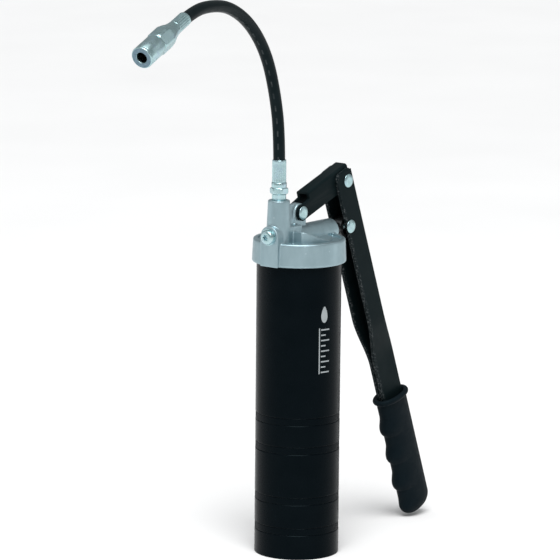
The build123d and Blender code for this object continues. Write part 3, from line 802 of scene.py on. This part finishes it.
LEVER_TILT = math.radians(20.67)
LEVER_DOWN = Vector((math.sin(LEVER_TILT), 0, -math.cos(LEVER_TILT)))
LEVER_OUTWARD = Vector((math.cos(LEVER_TILT), 0, math.sin(LEVER_TILT)))
LEVER_SHEET = 2.0
LEVER_HALF = 7.5
NECK_HALF = 2.5
LEVER_TOP = -8.7
LEVER_WEB_START = 10.5
SHOULDER = (104.0, 141.0)
LEVER_INNER = (-11.5, -10.0)
LEVER_OUTER = (6.5, 13.2)
LEVER_BEND = 1.05
FLANGE_CORNER = 5.0
FLANGE_STEPS = 10
BEND_STEPS = 6
BEND_END_COLUMN = 13
WEB_CUT_REACH = 3.5
WEB_CUT_CURVE = 0.35
LEVER_EDGE = 0.35


def lever_point(down, out, y):
    """A point at a distance below pivot B and outward from it."""
    return PIVOT_B + LEVER_DOWN * down + LEVER_OUTWARD * out + Vector((0, y, 0))


def lever_section(down):
    """Half of the channel's middle line, from the flange's free edge to the web's middle."""
    share = smooth_step((down - SHOULDER[0]) / (SHOULDER[1] - SHOULDER[0]))
    half = LEVER_HALF + (NECK_HALF - LEVER_HALF) * share - LEVER_SHEET / 2
    inner = LEVER_INNER[0] + (LEVER_INNER[1] - LEVER_INNER[0]) * share
    outer = LEVER_OUTER[0] + (LEVER_OUTER[1] - LEVER_OUTER[0]) * share - LEVER_SHEET / 2
    bend = min(LEVER_BEND, half)
    reach = outer - bend - inner
    found = [(inner + reach * i / FLANGE_STEPS, half) for i in range(FLANGE_STEPS + 1)]
    for i in range(1, BEND_STEPS + 1):
        angle = math.radians(90 - 90 / BEND_STEPS * i)
        found.append((outer - bend + bend * math.cos(angle), half - bend + bend * math.sin(angle)))
    found += [(outer, (half - bend) * share_left) for share_left in (0.6, 0.2)]
    return found


def flange_start(column):
    """Where each line of the sheet starts: round-cornered flanges and a web that is cut back."""
    section = lever_section(0)
    out, y = section[column]
    inner = section[0][0]
    if out - inner < FLANGE_CORNER:
        gap = FLANGE_CORNER - (out - inner)
        return LEVER_TOP + FLANGE_CORNER - math.sqrt(FLANGE_CORNER ** 2 - gap ** 2)
    outer = section[-1][0]
    if outer - out > WEB_CUT_REACH:
        return LEVER_TOP
    if column <= FLANGE_STEPS:
        gap = WEB_CUT_REACH - (outer - out)
        return LEVER_TOP + WEB_CUT_CURVE * gap ** 2
    share = smooth_step((column - BEND_END_COLUMN) / 3)
    low = LEVER_TOP + WEB_CUT_CURVE * (WEB_CUT_REACH - LEVER_BEND) ** 2
    return low + (LEVER_WEB_START - low) * share


def make_lever():
    """The channel as a bent sheet of even thickness with eased edges."""
    columns = len(lever_section(0))
    levels = [16.0 + 4.0 * i for i in range(22)]
    levels += [104.0 + 1.5 * i for i in range(26)]
    levels += [146.0 + 6.0 * i for i in range(16)]
    top_rows = 12
    rows = []
    for row in range(top_rows + len(levels)):
        line = []
        for column in range(columns):
            start = flange_start(column)
            if row < top_rows:
                down = start + (levels[0] - start) * row / top_rows
            else:
                down = levels[row - top_rows]
            out, y = lever_section(down)[column]
            line.append((down, out, y))
        mirrored = [(down, out, -y) for down, out, y in reversed(line)]
        rows.append(line + mirrored)
    width = len(rows[0])
    points = [lever_point(*point) for row in rows for point in row]
    faces = []
    for row in range(len(rows) - 1):
        for i in range(width - 1):
            a = row * width + i
            faces.append((a, a + 1, a + width + 1, a + width))
    lever = add_piece(
        "lever_channel", points, faces, LEVER_PAINT, "lever", ["lever_arm"]
    )
    modifier(lever, "SOLIDIFY", thickness=LEVER_SHEET * MM, offset=0.0, use_even_offset=True)
    modifier(
        lever,
        "BEVEL",
        width=LEVER_EDGE * MM,
        segments=3,
        limit_method="ANGLE",
        angle_limit=math.radians(50),
    )


make_lever()

# ---- Link: a short bent channel hung from the head ----

refined("lever_link", LEVER_PAINT, 0.3)

# ---- Grip ----

GRIP_HALF_DEPTH = 13.8
GRIP_HALF_WIDTH = 7.5
GRIP_MIDDLE = 1.5
GRIP_BODY_END = 253.0
GRIP_ROUND = 9.4
FINGER_PITCH = 21.9
FIRST_KINK = 196.8
FINGER_RISE = 2.8
LAST_FINGER = 0.4
FINGER_COUNT = 4
FINGER_SWELL = 15.0
FINGER_DROP = 5.5
LAST_FINGER_HOLD = 256.0
RIM_MIDDLE = (14.2, 170.5)
RIM_TILT = 0.09
RIM_TILT_START = 172.0
RIM_TILT_END = 185.0
RIM_R = (1.8, 1.95)
ROW_STEP = 0.7
END_SHIFT = 2.2
GRIP_SIDES = 72


def finger_rise(down):
    """The finger bumps: a slow swell that ends in a sharp step inward."""
    for finger in range(FINGER_COUNT):
        past = down - (FIRST_KINK + finger * FINGER_PITCH)
        share = LAST_FINGER if finger == FINGER_COUNT - 1 else 1.0
        if -FINGER_SWELL <= past <= 0.0:
            if past < -FINGER_DROP:
                return share * smooth_step((past + FINGER_SWELL) / (FINGER_SWELL - FINGER_DROP))
            return share * math.cos(math.pi / 2 * (past + FINGER_DROP) / FINGER_DROP) ** 0.75
    return 0.0


def grip_rows():
    """Rows of (distance down, half depth, half width, middle, finger rise)."""
    rows = [(175.0, 11.4, 3.4), (172.6, 11.8, 4.6), (171.2, 12.2, 5.6)]
    for i in range(15):
        angle = math.radians(175 - 17 * i)
        depth = RIM_MIDDLE[0] + RIM_R[0] * math.cos(angle)
        down = RIM_MIDDLE[1] - RIM_R[1] * math.sin(angle)
        rows.append((down, depth, depth - GRIP_HALF_DEPTH + GRIP_HALF_WIDTH))
    rows = [(down, depth, width, GRIP_MIDDLE, 0.0) for down, depth, width in rows]
    rows.append((172.9, GRIP_HALF_DEPTH + 0.05, GRIP_HALF_WIDTH + 0.05, GRIP_MIDDLE, 0.0))
    down = 173.6
    while down < GRIP_BODY_END:
        rise = FINGER_RISE * finger_rise(down)
        rows.append((down, GRIP_HALF_DEPTH, GRIP_HALF_WIDTH, GRIP_MIDDLE, rise))
        down += ROW_STEP
    for i in range(1, 15):
        angle = math.radians(90 * i / 14.5)
        level = GRIP_BODY_END + GRIP_ROUND * math.sin(angle)
        share = math.cos(angle) ** 0.72
        rise = FINGER_RISE * finger_rise(min(level, LAST_FINGER_HOLD)) * share
        middle = GRIP_MIDDLE - END_SHIFT * (1 - share)
        rows.append((level, GRIP_HALF_DEPTH * share, GRIP_HALF_WIDTH * share, middle, rise))
    return rows


def make_grip():
    """The moulded grip: rolled mouth, finger bumps on its inner side and a rounded end."""
    points = []
    rows = grip_rows()
    for down, depth, width, middle, rise in rows:
        level = smooth_step((RIM_TILT_END - down) / (RIM_TILT_END - RIM_TILT_START))
        tilt = RIM_TILT * level
        for k in range(GRIP_SIDES):
            angle = 2 * math.pi * k / GRIP_SIDES
            c, s = math.cos(angle), math.sin(angle)
            inward = max(0.0, -c)
            lift = rise * smooth_step(inward * 1.15)
            out = middle + depth * math.copysign(abs(c) ** 0.94, c) + lift * c
            y = width * math.copysign(abs(s) ** 0.94, s) + 0.35 * lift * s
            points.append(lever_point(down + tilt * (out - middle), out, y))
    faces = loops_to_faces(len(rows), GRIP_SIDES, False)
    faces.append(tuple(range(GRIP_SIDES)))
    last = (len(rows) - 1) * GRIP_SIDES
    faces.append(tuple(last + k for k in range(GRIP_SIDES)))
    add_piece("grip", points, faces, GRIP_VINYL, "lever", ["lever_grip"])


make_grip()

# ---- Outlet adapter, ferrules and coupler ----


ADAPTER_HEX_R = 6.2
COUPLER_HEX_R = 8.2
FERRULE_LENGTH = 14.0
COUPLER_SHELL_FACE = 0.9


def hexagon(angle, circumscribed):
    """Distance from a hexagon's middle to its side at an angle."""
    turn = (angle + math.pi / 6) % (math.pi / 3) - math.pi / 6
    return circumscribed * math.cos(math.pi / 6) / math.cos(turn)


def make_adapter():
    """The screwed outlet adapter: neck, small hexagon with chamfered corners, and collar."""
    profile = [
        (4.6, 236.0), (4.75, 236.3), (4.75, 246.6), (4.95, 247.3), (5.3, 247.6), (5.55, 247.62),
        (6.0, 247.95), (6.2, 248.2), (6.2, 249.6), (6.2, 251.0), (6.0, 251.25), (5.5, 251.58),
        (5.15, 251.65), (4.95, 251.8), (4.95, 252.1), (5.1, 252.4), (5.1, 254.8), (4.95, 255.15),
        (4.6, 255.3),
    ]

    def shape(angle, radius, height):
        if 247.6 < height < 251.6:
            return min(radius, hexagon(angle + math.pi / 6, ADAPTER_HEX_R))
        return radius

    points, faces = lathe(profile, 96, shape=shape)
    add_piece("hose_adapter", points, faces, ZINC, "body", ["outlet_adapter"], POST)


FLUTES = 18
FLUTE_DEPTH = 0.42


def make_ferrule(name, node, matrix, start, length, from_start):
    """A crimped sleeve: pressed flutes along it, a plain rim, and a rolled mouth. The wider
    plain rim is at the far end, or at the start when from_start is False."""
    rows = 14
    profile = [(HOSE_R - 0.1, start + 0.15), (FERRULE_R - 0.25, start)]
    profile.append((FERRULE_R - 0.05, start + 0.12))
    for i in range(rows + 1):
        profile.append((FERRULE_R, start + 0.4 + (length - 0.8) * i / rows))
    profile += [(FERRULE_R - 0.1, start + length - 0.12), (FERRULE_R - 0.35, start + length)]
    profile += [(HOSE_R - 0.1, start + length - 0.2)]

    def shape(angle, radius, height):
        if radius < FERRULE_R:
            return radius
        along = (height - start) / length
        if not from_start:
            along = 1 - along
        pressed = smooth_step((along - 0.04) / 0.1) * smooth_step((0.93 - along) / 0.1)
        groove = abs(math.sin(FLUTES * angle / 2)) ** 0.6
        return radius - FLUTE_DEPTH * pressed * (1 - groove)

    points, faces = lathe(profile, FLUTES * 10, wrap=True, shape=shape)
    return add_piece(name, points, faces, ZINC, "body", [node], matrix)


def make_coupler_adapter():
    """The coupler's cone and its rounded hexagon."""
    profile = [(4.2, 14.0), (4.75, 14.0), (4.9, 14.15), (4.95, 15.0), (5.05, 16.0), (5.4, 17.6)]
    profile += [(5.4 + 1.9 * smooth_step(i / 9), 17.6 + 7.4 * i / 9) for i in range(1, 10)]
    profile += [(7.35, 25.2), (7.6, 25.6), (7.8, 26.1)]
    profile += [(7.8, 26.1 + 10.3 * i / 6) for i in range(1, 7)]
    profile += [(7.65, 36.8), (7.3, 37.3), (7.05, 37.5), (5.4, 37.6), (5.4, 38.3)]

    def shape(angle, radius, height):
        if 25.3 < height < 37.5:
            return min(radius, hexagon(angle, COUPLER_HEX_R))
        return radius

    points, faces = lathe(profile, 120, shape=shape)
    return add_piece(
        "coupler_neck", points, faces, ZINC, "body", ["coupler_adapter"], COUPLER
    )


def make_coupler_body():
    """The coupler's round body with its bored, bevelled nose. Its forward end face has a darker,
    rougher zinc.
    """
    profile = [
        (7.0, 37.55), (7.25, 37.75), (7.3, 38.0), (7.3, 45.0), (7.3, 53.3), (7.25, 53.42),
        (7.2, 53.5), (7.25, 53.58), (7.3, 53.7), (7.3, 54.7), (7.2, 54.95), (6.85, 55.3),
        (6.65, 55.4), (4.2, 55.4), (3.8, 55.25), (3.62, 55.0), (3.6, 54.6), (3.6, 52.5),
        (3.7, 52.4), (5.5, 52.4), (5.5, 38.4), (5.5, 37.7),
    ]
    points, faces = lathe(profile, 120, wrap=True)
    shell = add_piece(
        "coupler_shell", points, faces, ZINC, "body", ["coupler_body"], COUPLER
    )
    # The forward-facing nose face gets the darker, rougher zinc.
    shell.data.materials.append(NOSE_FACE_ZINC)
    for polygon in shell.data.polygons:
        if polygon.normal.dot(COUPLER_AXIS) > COUPLER_SHELL_FACE:
            polygon.material_index = 1
    return shell


make_adapter()
lower_ferrule = make_ferrule(
    "ferrule_lower",
    "hose_ferrule_lower",
    POST,
    FERRULE_BOTTOM,
    FERRULE_TOP - FERRULE_BOTTOM,
    from_start=True,
)
upper_ferrule = make_ferrule(
    "ferrule_upper",
    "hose_ferrule_upper",
    COUPLER,
    0.0,
    FERRULE_LENGTH,
    from_start=False,
)
coupler_neck = make_coupler_adapter()
coupler_shell = make_coupler_body()

# ---- Springs ----


def make_spring(node):
    """A copy of a CAD spring in spring steel, standing for that node."""
    spring = bpy.data.objects.new(node + "_coil", NODES[node].data.copy())
    bpy.context.scene.collection.objects.link(spring)
    dress(spring, SPRING_STEEL, NODES[node]["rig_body"], [node])
    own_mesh(spring)
    return spring


make_spring(
    "follower_spring",
)
make_spring(
    "check_spring",
)
coupler_spring = make_spring(
    "coupler_spring",
)

# ---- Hose ----


def nurbs_line(points, steps):
    """Points along the smooth NURBS line whose control points are the route."""
    curve = bpy.data.curves.new("route", "CURVE")
    curve.dimensions = "3D"
    curve.resolution_u = steps
    spline = curve.splines.new("NURBS")
    spline.points.add(len(points) - 1)
    for control, point in zip(spline.points, points):
        control.co = (*point, 1)
    spline.order_u = 3
    spline.use_endpoint_u = True
    carrier = bpy.data.objects.new("route", curve)
    mesh = bpy.data.meshes.new_from_object(carrier)
    line = [vertex.co.copy() for vertex in mesh.vertices]
    bpy.data.objects.remove(carrier)
    bpy.data.meshes.remove(mesh)
    return line


def tube_around(line, radius, sides):
    """Loops of points round a line, carried along it without twist."""
    points = []
    side = Vector((0, 1, 0))
    for i, centre in enumerate(line):
        ahead = line[min(i + 1, len(line) - 1)] - line[max(i - 1, 0)]
        z = ahead.normalized()
        side = (side - side.dot(z) * z).normalized()
        other = z.cross(side)
        for k in range(sides):
            angle = 2 * math.pi * k / sides
            points.append(centre + radius * (math.cos(angle) * side + math.sin(angle) * other))
    return points


HOSE_SIDES = 40
HOSE_STEPS = 28


def make_hose():
    """The hose as a mesh tube along its NURBS line, mapped for its printed line."""
    line = nurbs_line(hose_points, HOSE_STEPS)
    points = tube_around([point / MM for point in line], HOSE_R, HOSE_SIDES)
    faces = loops_to_faces(len(line), HOSE_SIDES, False)
    faces.append(tuple(range(HOSE_SIDES)))
    faces.append(tuple(len(points) - HOSE_SIDES + k for k in range(HOSE_SIDES)))
    hose = add_piece("hose", points, faces, LAYLINE_RUBBER, "body", ["grease_hose"])
    travelled = [0.0]
    for a, b in zip(line, line[1:]):
        travelled.append(travelled[-1] + (b - a).length)
    layer = hose.data.uv_layers.new(name="hose_map").data
    for polygon in hose.data.polygons:
        corners = [hose.data.loops[i].vertex_index for i in polygon.loop_indices]
        sides = [corner % HOSE_SIDES for corner in corners]
        seam = len(corners) == 4 and max(sides) - min(sides) > HOSE_SIDES / 2
        for i, corner, side in zip(polygon.loop_indices, corners, sides):
            if seam and side == 0:
                side = HOSE_SIDES
            layer[i].uv = (travelled[corner // HOSE_SIDES] / MM, side / HOSE_SIDES)
    return hose, line


hose, hose_line = make_hose()

# ---- Floor and light ----


def make_stage():
    """A pale round floor, wide enough to reach the horizon."""
    bpy.ops.mesh.primitive_circle_add(vertices=96, radius=14.0, fill_type="NGON")
    floor = bpy.context.object
    floor.name = "floor"
    f = Finish("floor_paint", specular=0.2)
    base = f.ramp(f.noise(300.0, 2.0), [(0.3, (0.86, 0.86, 0.86)), (0.7, (0.88, 0.88, 0.88))])
    floor.data.materials.append(f.done(base, f.span(f.noise(120.0), 0.6, 0.7)))


def area_light(name, place, target, size, power):
    """A rectangular softbox that faces a target; places in metres."""
    data = bpy.data.lights.new(name, "AREA")
    data.shape = "RECTANGLE"
    data.size, data.size_y = size
    data.energy = power
    light = bpy.data.objects.new(name, data)
    bpy.context.scene.collection.objects.link(light)
    aim = (Vector(place) - Vector(target)).to_track_quat("Z", "Y")
    light.location = place
    light.rotation_mode = "QUATERNION"
    light.rotation_quaternion = aim


LIGHT_MIDDLE = (0.0, 0.0, 0.2)
SIDE_BOX = (0.6, 1.6)
TOP_BOX = (1.2, 1.2)
# name, degrees round from the camera, reach, height, size and power
BOXES = [
    ("left_box", -95, 1.3, 0.55, SIDE_BOX, 2.0),
    ("right_box", 95, 1.3, 0.55, SIDE_BOX, 1.2),
    ("top_box", -30, 0.5, 1.5, TOP_BOX, 6.0),
]


def make_light():
    """Soft studio light: a broad sun, side and top softboxes and a pale world."""
    scene = bpy.context.scene
    world = bpy.data.worlds.new("studio")
    scene.world = world
    world.use_nodes = True
    background = world.node_tree.nodes["Background"]
    background.inputs["Color"].default_value = (0.97, 0.99, 1.0, 1)
    background.inputs["Strength"].default_value = 0.35
    sun_data = bpy.data.lights.new("sun", "SUN")
    sun_data.energy = 2.9
    sun_data.angle = math.radians(40)
    sun = bpy.data.objects.new("sun", sun_data)
    scene.collection.objects.link(sun)
    sun.rotation_euler = (math.radians(20), math.radians(-25), 0)
    for name, turn, reach, height, size, power in BOXES:
        angle = CAMERA_AZIMUTH + math.radians(turn)
        place = (reach * math.sin(angle), -reach * math.cos(angle), height)
        area_light(name, place, LIGHT_MIDDLE, size, power)
    scene.view_settings.view_transform = "Standard"


make_stage()
make_light()
